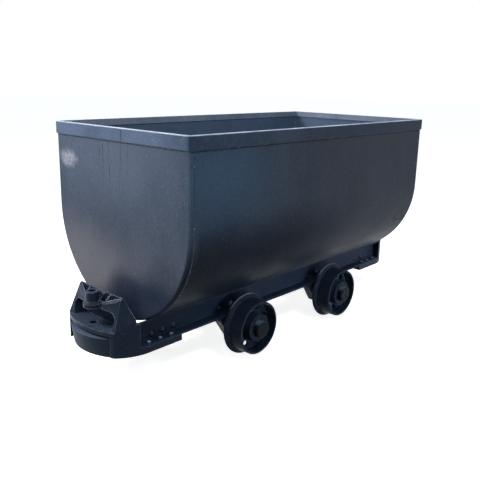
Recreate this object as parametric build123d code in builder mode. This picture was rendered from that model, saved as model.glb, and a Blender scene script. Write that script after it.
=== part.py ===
"""Mine car with a fixed U-shaped tub on two loose wheelsets, in millimetres.

X runs along the track, Y across it and Z up. The origin is on the floor under the middle of the car,
which stands on its wheel flanges. The front end is at -X and the left side at -Y.
"""

import os
from math import atan2, cos, radians, sin, sqrt, tan

from build123d import *

# Rails and wheels
FLANGE_DEPTH = 20  # from the tread down to the tip of the flange
TREAD_RADIUS = 150  # tread at the throat of the flange
TREAD_FALL = 4  # how much smaller the radius is at the outer edge of the tread
FLANGE_BACK = 280  # from the middle of the track to the back of a flange
FLANGE_THICKNESS = 27
FLANGE_TIP = 9  # from the back of the flange to its crest
FLANGE_BACK_DROP = 10  # rounding of the flange behind its crest
FLANGE_FACE = 6  # how far the flange leans from its throat to the start of the crest
WHEEL_OUTER_FACE = 392  # from the middle of the track
RIM_INNER_RADIUS = 135
WEB_THICKNESS = 14
WEB_FACE = 333  # outer face of the web, from the middle of the track
WEB_HOLES = 8
WEB_HOLE_RADIUS = 19
WEB_HOLE_CIRCLE = 105
HUB_RADIUS = 76
HUB_BACK_RADIUS = 56
HUB_BACK = 262  # inner end of the hub, from the middle of the track
CAST_DRAFT = 3  # how much a deep cast wall leans
EDGE = 3  # bevel on machined edges
CAP_RADIUS = 46
CAP_GROOVE = 6  # open ring between the cap and the collar round it
CAP_GROOVE_DEPTH = 8
CAP_PROUD = 28  # how far the cap stands out of the wheel's face
CAP_ROUND = 7
WHEELBASE = 790
AXLE_RADIUS = 35
AXLE_END_PLAY = 4  # from the end of the axle to the cap
AXLE_COLLAR_RADIUS = 45
AXLE_COLLAR_WIDTH = 16
AXLE_COLLAR_PLAY = 6  # from a collar to the seat
RUNNING_CLEARANCE = 0.06  # radial, between the axle and its seats
WHEEL_FIT = 0.02  # radial, between the axle and the wheel's bore

# Tub
TUB_LENGTH = 2038
TUB_WIDTH = 1038
TUB_BOTTOM = 298
RIM_TOP = 1245
PLATE = 6
CORNER_RADIUS = 14
END_FLANGE = 27  # how far an end plate's turned edge reaches along the tub
BAND_HEIGHT = 62
BAND_THICKNESS = 8
BAND_ROUND = 6  # on its upper outer edge
BAND_SEAM = 53  # from the middle of an end to the joint of the two bands
LINER_HEIGHT = 40
LINER_THICKNESS = 6
LINER_BEVEL = 4

# Frame
SILL_OVERHANG = 62  # of a sill beyond the tub's end
SILL_BACK = 192  # from the middle of the car to the back of a sill's web
SILL_WEB = 8
SILL_TIP = 250  # from the middle of the car to the edge of the lower flange
SILL_TOP_TIP = 244
SILL_BOTTOM = 224
SILL_TOP_FLANGE = 9
SILL_FLANGE_TIP = 9
SILL_FLANGE_ROOT = 13
SILL_FILLET = 7
SEAT_GAP = 0.3  # between curved faces that bear on each other
SADDLE_LENGTH = 90
SADDLE_PLATE = 8
SADDLE_BOTTOM = 234

# Axle seats
SEAT_TOP_LENGTH = 328
SEAT_FOOT_LENGTH = 152
SEAT_HEIGHT = 126
SEAT_INSET = 2  # how far the seat stays back from the edges of the sill
SEAT_RIM = 12
SEAT_POCKET = 14
SEAT_BOSS_RADIUS = 56
SEAT_CORNER = 12

# Bumper castings, all lengths along the car counted from the end of the sills
BUMPER_BOTTOM = 193
LIP_TOP = 317
LIP_THICKNESS = 17
LIP_CORNER = 112  # out to the front corners
LIP_CORNER_HALF = 187  # from the middle to a front corner
LIP_BULGE = 40  # from the front corners out to the middle of the lip
FLANK_ARC_START = 51  # the flank starts to curve this far behind the end of the sills
ARM_LENGTH = 255
ARM_WEB = 18
ARM_FOOT = 42  # width of the foot inside the sill's back
ARM_ROOT_HEIGHT = 100
ARM_TIP_HEIGHT = 56
WALL = 18  # posts beside the buffer
WALL_FRONT = 69  # front face of the wall behind the buffer
WALL_BACK = 49
RIB = 14
RIB_SPACING = 150
SHELF_TOP = 352  # top of the casting behind the hood
HOOD_SET = 3  # how far the foot of the hood stays back from the front corners
HOOD_TRIM = 4  # spare width of the foot, which the flanks trim off
HOOD_BACK = 19  # back of the hood's foot
HOOD_FOOT = 34  # where the hood's foot starts to run forward and down to the front corners
HOOD_FOOT_TOP = 362  # height of the foot up to there
HOOD_SINK = 8  # how far the hood reaches down into the lip
HOOD_WALL = 92  # front wall over the mouth, at its foot
HOOD_WALL_HALF = 75
HOOD_TOP = 470
HOOD_CREST_BACK = 40
HOOD_CREST = 47  # front of the level crest, where the top starts to slope down
HOOD_CREST_HALF = 173
HOOD_TIP = 53  # front of the wing's tip
TIP_ROUND = 3
HOOD_WALL_LEAN = 3  # of the front wall, between its foot and the crest
HOOD_SLOPE = 45  # degrees
MOUTH_HALF = 198  # half the width of the link's mouth at the front, under its roof
MOUTH_FOOT_HALF = 160  # and at the lip
MOUTH_FLARE = 30  # how much narrower each half is at the back
MOUTH_HEIGHT = 84
MOUTH_CORNER = 36
MOUTH_BACK = 39
MOUTH_DEPTH = 80  # over which the flare is measured
PIN_SET = 95  # pin axis, out from the end of the sills
PIN_HOLE_RADIUS = 20
EYE_RADIUS = 34
EYE_TOP = 478
EYE_EDGE = 3
NOSE_RADIUS = 46
NOSE_TOP = 418
NOSE_FLARE = 14  # height of the cone between the nose and the eye
POCKET_FLOOR = 412
POCKET_RIM = 8
POCKET_START = 38  # inner end of the pockets, from the middle
POCKET_RIB = 84

# Rubber buffers
BUFFER_BOTTOM = 188
BUFFER_TOP = 283
BUFFER_GAP = 2
BUFFER_TOP_BULGE = 65  # from the buffer's front corner out to the middle, at the top
BUFFER_LOW_BULGE = 52
BUFFER_TOP_CORNER = 111
BUFFER_LOW_CORNER = 103

# Worked out from the sizes above
AXLE_HEIGHT = FLANGE_DEPTH + TREAD_RADIUS
FLANGE_RADIUS = TREAD_RADIUS + FLANGE_DEPTH
TUB_HALF = TUB_WIDTH / 2
TUB_AXIS = TUB_BOTTOM + TUB_HALF  # height of the middle of the round bottom
SILL_END = TUB_LENGTH / 2 + SILL_OVERHANG
WRAPPER_HALF = TUB_LENGTH / 2 - END_FLANGE
CORNER = SILL_END + LIP_CORNER
LIP_APEX = CORNER + LIP_BULGE
ARC_START = SILL_END - FLANK_ARC_START
ARM_TIP = SILL_END - ARM_LENGTH
FLANK_IN = SILL_TIP - LIP_CORNER_HALF
FLANK_RADIUS = ((CORNER - ARC_START) ** 2 + FLANK_IN**2) / (2 * FLANK_IN)
ROOM = 4000  # larger than the car, for cutting away a whole side

ENDS = (("front", -1), ("rear", 1))
SIDES = (("left", -1), ("right", 1))
# Turn of the web holes on each wheelset, in degrees
HOLE_PHASE = {"front": 20, "rear": 4}


def save(builder, name):
    """Label a finished piece and write it under its own name."""
    builder.part.label = name
    export_step(builder.part, f"parts/{name}.step")


def across(side, x=0, z=0):
    """Plane across the car whose local x runs out to one side and whose local y runs up."""
    return Plane(origin=(x, 0, z), x_dir=(0, side, 0), z_dir=(side, 0, 0))


def along(end, z=0):
    """Level plane whose local x runs out towards one end and whose local y runs to the right."""
    return Plane(origin=(0, 0, z), x_dir=(end, 0, 0), z_dir=(0, 0, end))


def under_tub(y, gap):
    """Height of a curve that stays the given gap below the round bottom, at y from the middle."""
    radius = TUB_HALF + gap
    return TUB_AXIS - sqrt(radius**2 - y**2)


def tub_form(inset):
    """Solid U with rounded end edges, inset from the outside of the tub."""
    half = TUB_HALF - inset
    with BuildPart() as form:
        with BuildSketch(Plane.YZ):
            with BuildLine():
                Line((half, TUB_AXIS), (half, RIM_TOP + inset))
                Line((half, RIM_TOP + inset), (-half, RIM_TOP + inset))
                Line((-half, RIM_TOP + inset), (-half, TUB_AXIS))
                ThreePointArc((-half, TUB_AXIS), (0, TUB_AXIS - half), (half, TUB_AXIS))
            make_face()
        extrude(amount=TUB_LENGTH / 2 - inset, both=True)
        ends = form.faces().filter_by(Axis.X)
        outline = ends.edges().filter_by(lambda edge: abs(edge.center().Z - RIM_TOP - inset) > 1)
        fillet(outline, radius=CORNER_RADIUS - inset)
    return form.part


def band_half(side):
    """Region that holds one of the two bands, which meet off the middle of each end."""
    with BuildPart() as region:
        with BuildSketch(Plane(origin=(0, 0, 0), x_dir=(-side, 0, 0), z_dir=(0, 0, 1))):
            with BuildLine():
                Polyline(
                    (-ROOM, -ROOM), (ROOM, -ROOM), (ROOM, BAND_SEAM), (0, BAND_SEAM),
                    (0, -BAND_SEAM), (-ROOM, -BAND_SEAM), close=True,
                )
            make_face()
        extrude(amount=ROOM, both=True)
    return region.part


def rounded_ring(outer, inner):
    """Ring between two rounded outlines that are set off from the outside of the tub."""
    for growth, mode in ((outer, Mode.ADD), (inner, Mode.SUBTRACT)):
        RectangleRounded(
            TUB_LENGTH + 2 * growth, TUB_WIDTH + 2 * growth, CORNER_RADIUS + growth, mode=mode
        )


def make_tub():
    """The wrapper plate and the two pressed end plates."""
    with BuildPart() as shell:
        add(tub_form(0))
        add(tub_form(PLATE), mode=Mode.SUBTRACT)
    with BuildPart() as wrapper:
        add(shell.part)
        with BuildSketch(Plane.YZ):
            Rectangle(ROOM, ROOM)
        extrude(amount=WRAPPER_HALF, both=True, mode=Mode.INTERSECT)
    save(wrapper, "tub_wrapper")
    for end_name, end in ENDS:
        with BuildPart() as end_plate:
            add(shell.part)
            with BuildSketch(Plane(origin=(end * WRAPPER_HALF, 0, 0), z_dir=(end, 0, 0))):
                Rectangle(ROOM, ROOM)
            extrude(amount=ROOM, mode=Mode.INTERSECT)
        save(end_plate, f"end_plate_{end_name}")


def make_rim():
    """The flat bar round the outside of the rim and the liner inside it, each in two halves."""
    for side_name, side in SIDES:
        region = band_half(side)
        with BuildPart() as band:
            with BuildSketch(Plane.XY.offset(RIM_TOP - BAND_HEIGHT)):
                rounded_ring(BAND_THICKNESS, 0)
            extrude(amount=BAND_HEIGHT)
            highest = band.faces().sort_by(Axis.Z)[-1]
            fillet(highest.outer_wire().edges(), radius=BAND_ROUND)
            add(region, mode=Mode.INTERSECT)
        save(band, f"rim_band_{side_name}")
        with BuildPart() as liner:
            with BuildSketch(Plane.XY.offset(RIM_TOP - LINER_HEIGHT)):
                rounded_ring(-PLATE, -PLATE - LINER_THICKNESS)
            extrude(amount=LINER_HEIGHT)
            lowest = liner.faces().sort_by(Axis.Z)[0]
            chamfer(lowest.inner_wires()[0].edges(), length=LINER_BEVEL)
            add(region, mode=Mode.INTERSECT)
        save(liner, f"rim_liner_{side_name}")


def make_sills():
    """Two rolled channels, open outwards, whose upper flange follows the round bottom."""
    top = SEAT_GAP
    under = SEAT_GAP + SILL_TOP_FLANGE
    face = SILL_BACK + SILL_WEB
    middle = (SILL_BACK + SILL_TOP_TIP) / 2
    middle_under = (face + SILL_TOP_TIP) / 2
    for side_name, side in SIDES:
        with BuildPart() as sill:
            with BuildSketch(across(side)) as profile:
                with BuildLine():
                    Polyline(
                        (face, under_tub(face, under)), (face, SILL_BOTTOM + SILL_FLANGE_ROOT),
                        (SILL_TIP, SILL_BOTTOM + SILL_FLANGE_TIP), (SILL_TIP, SILL_BOTTOM),
                        (SILL_BACK, SILL_BOTTOM), (SILL_BACK, under_tub(SILL_BACK, top)),
                    )
                    ThreePointArc(
                        (SILL_BACK, under_tub(SILL_BACK, top)), (middle, under_tub(middle, top)),
                        (SILL_TOP_TIP, under_tub(SILL_TOP_TIP, top)),
                    )
                    Line(
                        (SILL_TOP_TIP, under_tub(SILL_TOP_TIP, top)),
                        (SILL_TOP_TIP, under_tub(SILL_TOP_TIP, under)),
                    )
                    ThreePointArc(
                        (SILL_TOP_TIP, under_tub(SILL_TOP_TIP, under)),
                        (middle_under, under_tub(middle_under, under)),
                        (face, under_tub(face, under)),
                    )
                make_face()
                roots = profile.vertices().filter_by(lambda corner: abs(corner.X - face) < 1)
                fillet(roots, radius=SILL_FILLET)
            extrude(amount=SILL_END, both=True)
        save(sill, f"sill_{side_name}")


def make_saddles():
    """Pressed cross-bearers between the sills, curved to the bottom of the tub."""
    places = (("front", -WHEELBASE / 2), ("middle", 0), ("rear", WHEELBASE / 2))
    for place_name, x in places:
        with BuildPart() as saddle:
            for inset, mode in ((0, Mode.ADD), (SADDLE_PLATE, Mode.SUBTRACT)):
                half = SILL_BACK - inset
                gap = SEAT_GAP + inset
                with BuildSketch(Plane.YZ.offset(x)):
                    with BuildLine():
                        Polyline(
                            (half, under_tub(half, gap)), (half, SADDLE_BOTTOM),
                            (-half, SADDLE_BOTTOM), (-half, under_tub(half, gap)),
                        )
                        ThreePointArc(
                            (-half, under_tub(half, gap)), (0, under_tub(0, gap)),
                            (half, under_tub(half, gap)),
                        )
                    make_face()
                extrude(amount=SADDLE_LENGTH / 2 - inset, both=True, mode=mode)
        save(saddle, f"saddle_{place_name}")


def make_axle_seats():
    """Cast pedestals under the sills, each closed below the axle by a bolted cap."""
    inner = SILL_BACK + SEAT_INSET
    outer = SILL_TIP - SEAT_INSET
    depth = outer - inner
    top_half = SEAT_TOP_LENGTH / 2
    foot_half = SEAT_FOOT_LENGTH / 2
    foot = SILL_BOTTOM - SEAT_HEIGHT
    for end_name, end in ENDS:
        for side_name, side in SIDES:
            base = Plane(
                origin=(end * WHEELBASE / 2, side * inner, 0), x_dir=(-side, 0, 0), z_dir=(0, side, 0)
            )
            face = base.offset(depth)
            with BuildPart() as block:
                with BuildSketch(base):
                    with BuildLine():
                        Polyline(
                            (-top_half, SILL_BOTTOM), (top_half, SILL_BOTTOM),
                            (foot_half, foot), (-foot_half, foot), close=True,
                        )
                    make_face()
                extrude(amount=depth)
                fillet(block.edges().filter_by(Axis.Y), radius=SEAT_CORNER)
                for plane, way in ((base, 1), (face, -1)):
                    with BuildSketch(plane):
                        with BuildLine():
                            Polyline(
                                (-top_half, SILL_BOTTOM), (top_half, SILL_BOTTOM),
                                (foot_half, foot), (-foot_half, foot), close=True,
                            )
                        make_face()
                        offset(amount=-SEAT_RIM, mode=Mode.REPLACE)
                        with Locations((0, AXLE_HEIGHT)):
                            Circle(SEAT_BOSS_RADIUS, mode=Mode.SUBTRACT)
                    extrude(amount=way * SEAT_POCKET, mode=Mode.SUBTRACT)
                with BuildSketch(base):
                    with Locations((0, AXLE_HEIGHT)):
                        Circle(AXLE_RADIUS + RUNNING_CLEARANCE)
                extrude(amount=depth, mode=Mode.SUBTRACT)
            for part_name, low in (("axle_seat", AXLE_HEIGHT), ("seat_cap", AXLE_HEIGHT - ROOM)):
                with BuildPart() as piece:
                    add(block.part)
                    with BuildSketch(Plane.XY.offset(low)):
                        Rectangle(ROOM, ROOM)
                    extrude(amount=ROOM, mode=Mode.INTERSECT)
                save(piece, f"{part_name}_{end_name}_{side_name}")


def flank(x):
    """Half-width of a bumper casting at x from the middle of the car."""
    run = max(0, x - ARC_START)
    return SILL_TIP - FLANK_RADIUS + sqrt(FLANK_RADIUS**2 - run**2)


def casting_outline():
    """Outline of a bumper casting in plan, as a sketch on the level plane."""
    middle = (ARC_START + CORNER) / 2
    with BuildSketch() as outline:
        with BuildLine():
            Line((ARM_TIP, -SILL_TIP), (ARC_START, -SILL_TIP))
            ThreePointArc((ARC_START, -SILL_TIP), (middle, -flank(middle)), (CORNER, -LIP_CORNER_HALF))
            ThreePointArc((CORNER, -LIP_CORNER_HALF), (LIP_APEX, 0), (CORNER, LIP_CORNER_HALF))
            ThreePointArc((CORNER, LIP_CORNER_HALF), (middle, flank(middle)), (ARC_START, SILL_TIP))
            Polyline((ARC_START, SILL_TIP), (ARM_TIP, SILL_TIP), (ARM_TIP, -SILL_TIP))
        make_face()
    return outline.sketch


def make_hood(end):
    """Hood of a bumper: a bridge over the link's mouth with a sloping, pocketed top."""
    foot = [
        (out, flank(SILL_END + out) + HOOD_TRIM)
        for out in (HOOD_BACK, HOOD_FOOT, LIP_CORNER - HOOD_SET)
    ]
    foot += [(HOOD_WALL, HOOD_WALL_HALF)]
    crest = (
        (HOOD_CREST_BACK, HOOD_CREST_HALF - TIP_ROUND), (HOOD_CREST, HOOD_CREST_HALF),
        (HOOD_TIP, HOOD_CREST_HALF - TIP_ROUND), (HOOD_WALL - HOOD_WALL_LEAN, HOOD_WALL_HALF),
    )
    fall = atan2(HOOD_FOOT_TOP - LIP_TOP, LIP_CORNER - HOOD_SET - HOOD_FOOT)
    level = Plane(
        origin=(end * SILL_END, 0, LIP_TOP - HOOD_SINK), x_dir=(end, 0, 0), z_dir=(0, 0, end)
    )
    leaning = Plane(
        origin=(end * (SILL_END + HOOD_FOOT), 0, HOOD_FOOT_TOP),
        x_dir=(end * cos(fall), 0, -sin(fall)), z_dir=(sin(fall), 0, end * cos(fall)),
    )
    top = Plane(origin=(end * SILL_END, 0, HOOD_TOP), x_dir=(end, 0, 0), z_dir=(0, 0, end))
    run = 1 / cos(fall)
    sloped_foot = [((out - HOOD_FOOT) * run, half) for out, half in foot]
    with BuildPart() as hood:
        for plane, outline in ((level, foot), (leaning, sloped_foot), (top, crest)):
            mirrored = [(x, -y) for x, y in reversed(outline)]
            with BuildSketch(plane):
                with BuildLine():
                    Polyline(*outline, *mirrored, close=True)
                make_face()
        loft(ruled=True)
        with BuildSketch(along(end)):
            add(casting_outline())
        extrude(amount=end * ROOM, mode=Mode.INTERSECT)
        # Slope from the crest down to the eye
        crest_x = SILL_END + HOOD_CREST
        side_plane = Plane(origin=(0, 0, 0), x_dir=(end, 0, 0), z_dir=(0, -end, 0))
        with BuildSketch(side_plane):
            with BuildLine():
                Polyline(
                    (crest_x, HOOD_TOP), (crest_x + ROOM, HOOD_TOP - ROOM * tan(radians(HOOD_SLOPE))),
                    (crest_x + ROOM, HOOD_TOP + ROOM), (crest_x, HOOD_TOP + ROOM), close=True,
                )
            make_face()
        extrude(amount=ROOM, both=True, mode=Mode.SUBTRACT)
        # Pockets, each crossed by a rib
        for side in (-1, 1):
            with BuildSketch(top):
                with BuildLine():
                    Polyline(
                        (HOOD_CREST_BACK, side * (POCKET_START - POCKET_RIM)),
                        (HOOD_CREST_BACK, side * HOOD_CREST_HALF), (HOOD_TIP, side * HOOD_CREST_HALF),
                        (HOOD_WALL - HOOD_WALL_LEAN, side * HOOD_WALL_HALF),
                        (HOOD_WALL - HOOD_WALL_LEAN, side * (POCKET_START - POCKET_RIM)), close=True,
                    )
                make_face()
                offset(amount=-POCKET_RIM, mode=Mode.REPLACE)
                with Locations((HOOD_CREST, side * POCKET_RIB)):
                    Rectangle(ROOM, POCKET_RIM, mode=Mode.SUBTRACT)
            extrude(amount=-end * (HOOD_TOP - POCKET_FLOOR), mode=Mode.SUBTRACT)
    return hood.part


def make_bumpers():
    """Cast bumpers with two arms riveted to the sills and a hooded eye over the lip."""
    link_roof = LIP_TOP + MOUTH_HEIGHT
    pin = SILL_END + PIN_SET
    hollow = LIP_TOP - LIP_THICKNESS - BUMPER_BOTTOM
    for end_name, end in ENDS:
        hood = make_hood(end)
        with BuildPart() as bumper:
            with BuildSketch(along(end, BUMPER_BOTTOM)):
                add(casting_outline())
            extrude(amount=end * (LIP_TOP - BUMPER_BOTTOM))
            # Room for the sills, and between the arms
            with BuildSketch(along(end, SILL_BOTTOM)):
                with Locations((SILL_END, 0)):
                    Rectangle(ROOM, ROOM, align=(Align.MAX, Align.CENTER))
            extrude(amount=end * ROOM, mode=Mode.SUBTRACT)
            with BuildSketch(along(end, BUMPER_BOTTOM)):
                with Locations((SILL_END, 0)):
                    Rectangle(ROOM, 2 * (SILL_BACK - ARM_FOOT), align=(Align.MAX, Align.CENTER))
            extrude(amount=end * ROOM, mode=Mode.SUBTRACT)
            # Upright webs of the arms, behind the sills
            for side in (-1, 1):
                web_plane = Plane(
                    origin=(0, side * (SILL_BACK - ARM_WEB), 0), x_dir=(end, 0, 0), z_dir=(0, -end, 0)
                )
                with BuildSketch(web_plane):
                    with BuildLine():
                        Polyline(
                            (ARM_TIP, BUMPER_BOTTOM), (SILL_END + WALL_BACK, BUMPER_BOTTOM),
                            (SILL_END + WALL_BACK, LIP_TOP), (SILL_END, LIP_TOP),
                            (SILL_END, BUMPER_BOTTOM + ARM_ROOT_HEIGHT),
                            (ARM_TIP, BUMPER_BOTTOM + ARM_TIP_HEIGHT), close=True,
                        )
                    make_face()
                extrude(amount=-side * end * ARM_WEB)
            # Seat of the buffer, and the hollow behind its wall
            with BuildSketch(along(end, BUMPER_BOTTOM)):
                with Locations((SILL_END + WALL_FRONT, 0)):
                    Rectangle(ROOM, 2 * (LIP_CORNER_HALF - WALL), align=(Align.MIN, Align.CENTER))
            extrude(amount=end * hollow, mode=Mode.SUBTRACT)
            with BuildSketch(along(end, BUMPER_BOTTOM)):
                with Locations((SILL_END, 0)):
                    Rectangle(WALL_BACK, 2 * (SILL_BACK - ARM_WEB), align=(Align.MIN, Align.CENTER))
                with Locations((SILL_END, -RIB_SPACING / 2), (SILL_END, RIB_SPACING / 2)):
                    Rectangle(WALL_BACK, RIB, align=(Align.MIN, Align.CENTER), mode=Mode.SUBTRACT)
            extrude(amount=end * hollow, mode=Mode.SUBTRACT)
            # Shelf behind the hood, level with the top of the sills
            with BuildSketch(along(end, LIP_TOP)):
                add(casting_outline())
                with Locations((SILL_END, 0)):
                    Rectangle(
                        HOOD_FOOT, ROOM, align=(Align.MIN, Align.CENTER), mode=Mode.INTERSECT
                    )
            extrude(amount=end * (SHELF_TOP - LIP_TOP))
            add(hood)
            # Eye for the coupling pin, flared out into the nose below it
            with BuildSketch(Plane(origin=(end * pin, 0, 0), x_dir=(end, 0, 0), z_dir=(0, -end, 0))):
                with BuildLine():
                    Polyline(
                        (0, link_roof), (NOSE_RADIUS, link_roof), (NOSE_RADIUS, NOSE_TOP),
                        (EYE_RADIUS, NOSE_TOP + NOSE_FLARE), (EYE_RADIUS, EYE_TOP - EYE_EDGE),
                        (EYE_RADIUS - EYE_EDGE, EYE_TOP), (0, EYE_TOP), close=True,
                    )
                make_face()
            revolve(axis=Axis((end * pin, 0, 0), (0, 0, 1)))
            # Mouth for the link, flared to the front, and the pin hole through the eye and the lip
            for out, narrower in ((MOUTH_BACK, MOUTH_FLARE), (MOUTH_BACK + MOUTH_DEPTH, 0)):
                with BuildSketch(across(end, end * (SILL_END + out), LIP_TOP)) as mouth:
                    with BuildLine():
                        Polyline(
                            (narrower - MOUTH_FOOT_HALF, 0), (MOUTH_FOOT_HALF - narrower, 0),
                            (MOUTH_HALF - narrower, MOUTH_HEIGHT), (narrower - MOUTH_HALF, MOUTH_HEIGHT),
                            close=True,
                        )
                    make_face()
                    fillet(mouth.vertices().group_by(Axis.Y)[-1], radius=MOUTH_CORNER)
            loft(ruled=True, mode=Mode.SUBTRACT)
            with BuildSketch(along(end)):
                with Locations((pin, 0)):
                    Circle(PIN_HOLE_RADIUS)
            extrude(amount=end * ROOM, mode=Mode.SUBTRACT)
        save(bumper, f"bumper_{end_name}")


def make_buffers():
    """Rubber pads below the lips, leaning out towards the top."""
    half = LIP_CORNER_HALF - WALL - BUFFER_GAP
    back = SILL_END + WALL_FRONT
    levels = (
        (BUFFER_BOTTOM, BUFFER_LOW_CORNER, BUFFER_LOW_BULGE),
        (BUFFER_TOP, BUFFER_TOP_CORNER, BUFFER_TOP_BULGE),
    )
    for end_name, end in ENDS:
        with BuildPart() as buffer:
            for height, corner, bulge in levels:
                front = SILL_END + corner
                with BuildSketch(along(end, height)):
                    with BuildLine():
                        Polyline((front, half), (back, half), (back, -half), (front, -half))
                        ThreePointArc((front, -half), (front + bulge, 0), (front, half))
                    make_face()
            loft()
        save(buffer, f"buffer_{end_name}")


def make_wheelsets():
    """Flanged wheels with recessed webs, their caps and the turned axle that carries them."""
    web_back = WEB_FACE - WEB_THICKNESS
    hub_floor = WHEEL_OUTER_FACE - CAP_GROOVE_DEPTH
    tread_edge = TREAD_RADIUS - TREAD_FALL
    throat = FLANGE_BACK + FLANGE_THICKNESS
    flange_face = (throat - FLANGE_FACE, FLANGE_RADIUS - FLANGE_TIP)
    flange_back_top = FLANGE_RADIUS - FLANGE_BACK_DROP
    groove = CAP_RADIUS + CAP_GROOVE
    bore = AXLE_RADIUS + WHEEL_FIT
    for end_name, end in ENDS:
        x = end * WHEELBASE / 2
        spin = Axis((x, 0, AXLE_HEIGHT), (0, 1, 0))
        for side_name, side in SIDES:
            with BuildPart() as wheel:
                with BuildSketch(across(side, x, AXLE_HEIGHT)):
                    with BuildLine():
                        Polyline(
                            (FLANGE_BACK, flange_back_top), (FLANGE_BACK, RIM_INNER_RADIUS),
                            (web_back, RIM_INNER_RADIUS - CAST_DRAFT),
                            (web_back, HUB_BACK_RADIUS + CAST_DRAFT), (HUB_BACK, HUB_BACK_RADIUS),
                            (HUB_BACK, bore), (hub_floor, bore), (hub_floor, groove),
                            (WHEEL_OUTER_FACE, groove), (WHEEL_OUTER_FACE, HUB_RADIUS - EDGE),
                            (WHEEL_OUTER_FACE - EDGE, HUB_RADIUS), (WEB_FACE, HUB_RADIUS + CAST_DRAFT),
                            (WEB_FACE, RIM_INNER_RADIUS - CAST_DRAFT),
                            (WHEEL_OUTER_FACE, RIM_INNER_RADIUS),
                            (WHEEL_OUTER_FACE, tread_edge - EDGE),
                            (WHEEL_OUTER_FACE - EDGE, tread_edge), (throat, TREAD_RADIUS), flange_face,
                        )
                        ThreePointArc(
                            flange_face, (FLANGE_BACK + FLANGE_TIP, FLANGE_RADIUS),
                            (FLANGE_BACK, flange_back_top),
                        )
                    make_face()
                revolve(axis=spin)
                web_plane = Plane(
                    origin=(x, side * WEB_FACE, AXLE_HEIGHT), x_dir=(1, 0, 0), z_dir=(0, side, 0)
                )
                with BuildSketch(web_plane):
                    with PolarLocations(WEB_HOLE_CIRCLE, WEB_HOLES, HOLE_PHASE[end_name]):
                        Circle(WEB_HOLE_RADIUS)
                extrude(amount=-WEB_THICKNESS, mode=Mode.SUBTRACT)
            save(wheel, f"wheel_{end_name}_{side_name}")
            with BuildPart() as cap:
                with BuildSketch(
                    Plane(origin=(x, side * hub_floor, AXLE_HEIGHT), z_dir=(0, side, 0))
                ):
                    Circle(CAP_RADIUS)
                extrude(amount=CAP_GROOVE_DEPTH + CAP_PROUD)
                outer = cap.faces().sort_by(Axis.Y)[-1 if side > 0 else 0]
                fillet(outer.edges(), radius=CAP_ROUND)
            save(cap, f"hub_cap_{end_name}_{side_name}")
        with BuildPart() as axle:
            with BuildSketch(Plane(origin=(x, 0, AXLE_HEIGHT), z_dir=(0, 1, 0))):
                Circle(AXLE_RADIUS)
            extrude(amount=hub_floor - AXLE_END_PLAY, both=True)
            for side in (-1, 1):
                collar = side * (SILL_BACK + SEAT_INSET - AXLE_COLLAR_PLAY - AXLE_COLLAR_WIDTH)
                with BuildSketch(Plane(origin=(x, collar, AXLE_HEIGHT), z_dir=(0, side, 0))):
                    Circle(AXLE_COLLAR_RADIUS)
                extrude(amount=AXLE_COLLAR_WIDTH)
        save(axle, f"axle_{end_name}")


os.makedirs("parts", exist_ok=True)
make_tub()
make_rim()
make_sills()
make_saddles()
make_axle_seats()
make_bumpers()
make_buffers()
make_wheelsets()
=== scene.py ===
import logging
import math
from dataclasses import dataclass, field
from enum import Enum
from typing import Iterable, Sequence

import bmesh
import bpy
from mathutils import Matrix, Vector, noise


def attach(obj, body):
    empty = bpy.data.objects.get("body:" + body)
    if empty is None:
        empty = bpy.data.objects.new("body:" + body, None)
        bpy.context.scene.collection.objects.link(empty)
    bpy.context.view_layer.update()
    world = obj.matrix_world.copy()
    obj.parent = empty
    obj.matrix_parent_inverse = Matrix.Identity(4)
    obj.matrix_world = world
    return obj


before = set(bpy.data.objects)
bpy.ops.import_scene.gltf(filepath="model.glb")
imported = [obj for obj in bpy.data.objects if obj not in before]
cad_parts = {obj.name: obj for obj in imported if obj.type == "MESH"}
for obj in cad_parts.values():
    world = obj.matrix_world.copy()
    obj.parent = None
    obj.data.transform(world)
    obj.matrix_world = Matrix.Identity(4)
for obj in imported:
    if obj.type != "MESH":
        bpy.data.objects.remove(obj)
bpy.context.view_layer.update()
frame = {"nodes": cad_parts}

log = logging.getLogger("mine_car")

Colour = tuple[float, float, float]
Socket = bpy.types.NodeSocket
Point = tuple[float, float, float]


def paint(red: int, green: int, blue: int) -> Colour:
    """Turn a colour as seen on a screen into the linear values that a shader wants.

    Args:
        red: Red, from 0 to 255.
        green: Green, from 0 to 255.
        blue: Blue, from 0 to 255.

    Returns:
        The same colour as three linear values.
    """

    def linear(value: int) -> float:
        """Undo the screen's curve for one channel."""
        share = value / 255
        return share / 12.92 if share <= 0.04045 else ((share + 0.055) / 1.055) ** 2.4

    return linear(red), linear(green), linear(blue)


class End(Enum):
    """An end of the car and the sign of its place along the track."""

    FRONT = -1
    REAR = 1


class Side(Enum):
    """A side of the car and the sign of its place across the track."""

    LEFT = -1
    RIGHT = 1


class Grain(Enum):
    """The surface under the paint, which sets how rough it is to the eye."""

    ROLLED = "rolled"
    CAST = "cast"
    MOULDED = "moulded"


# Finishes


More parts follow.
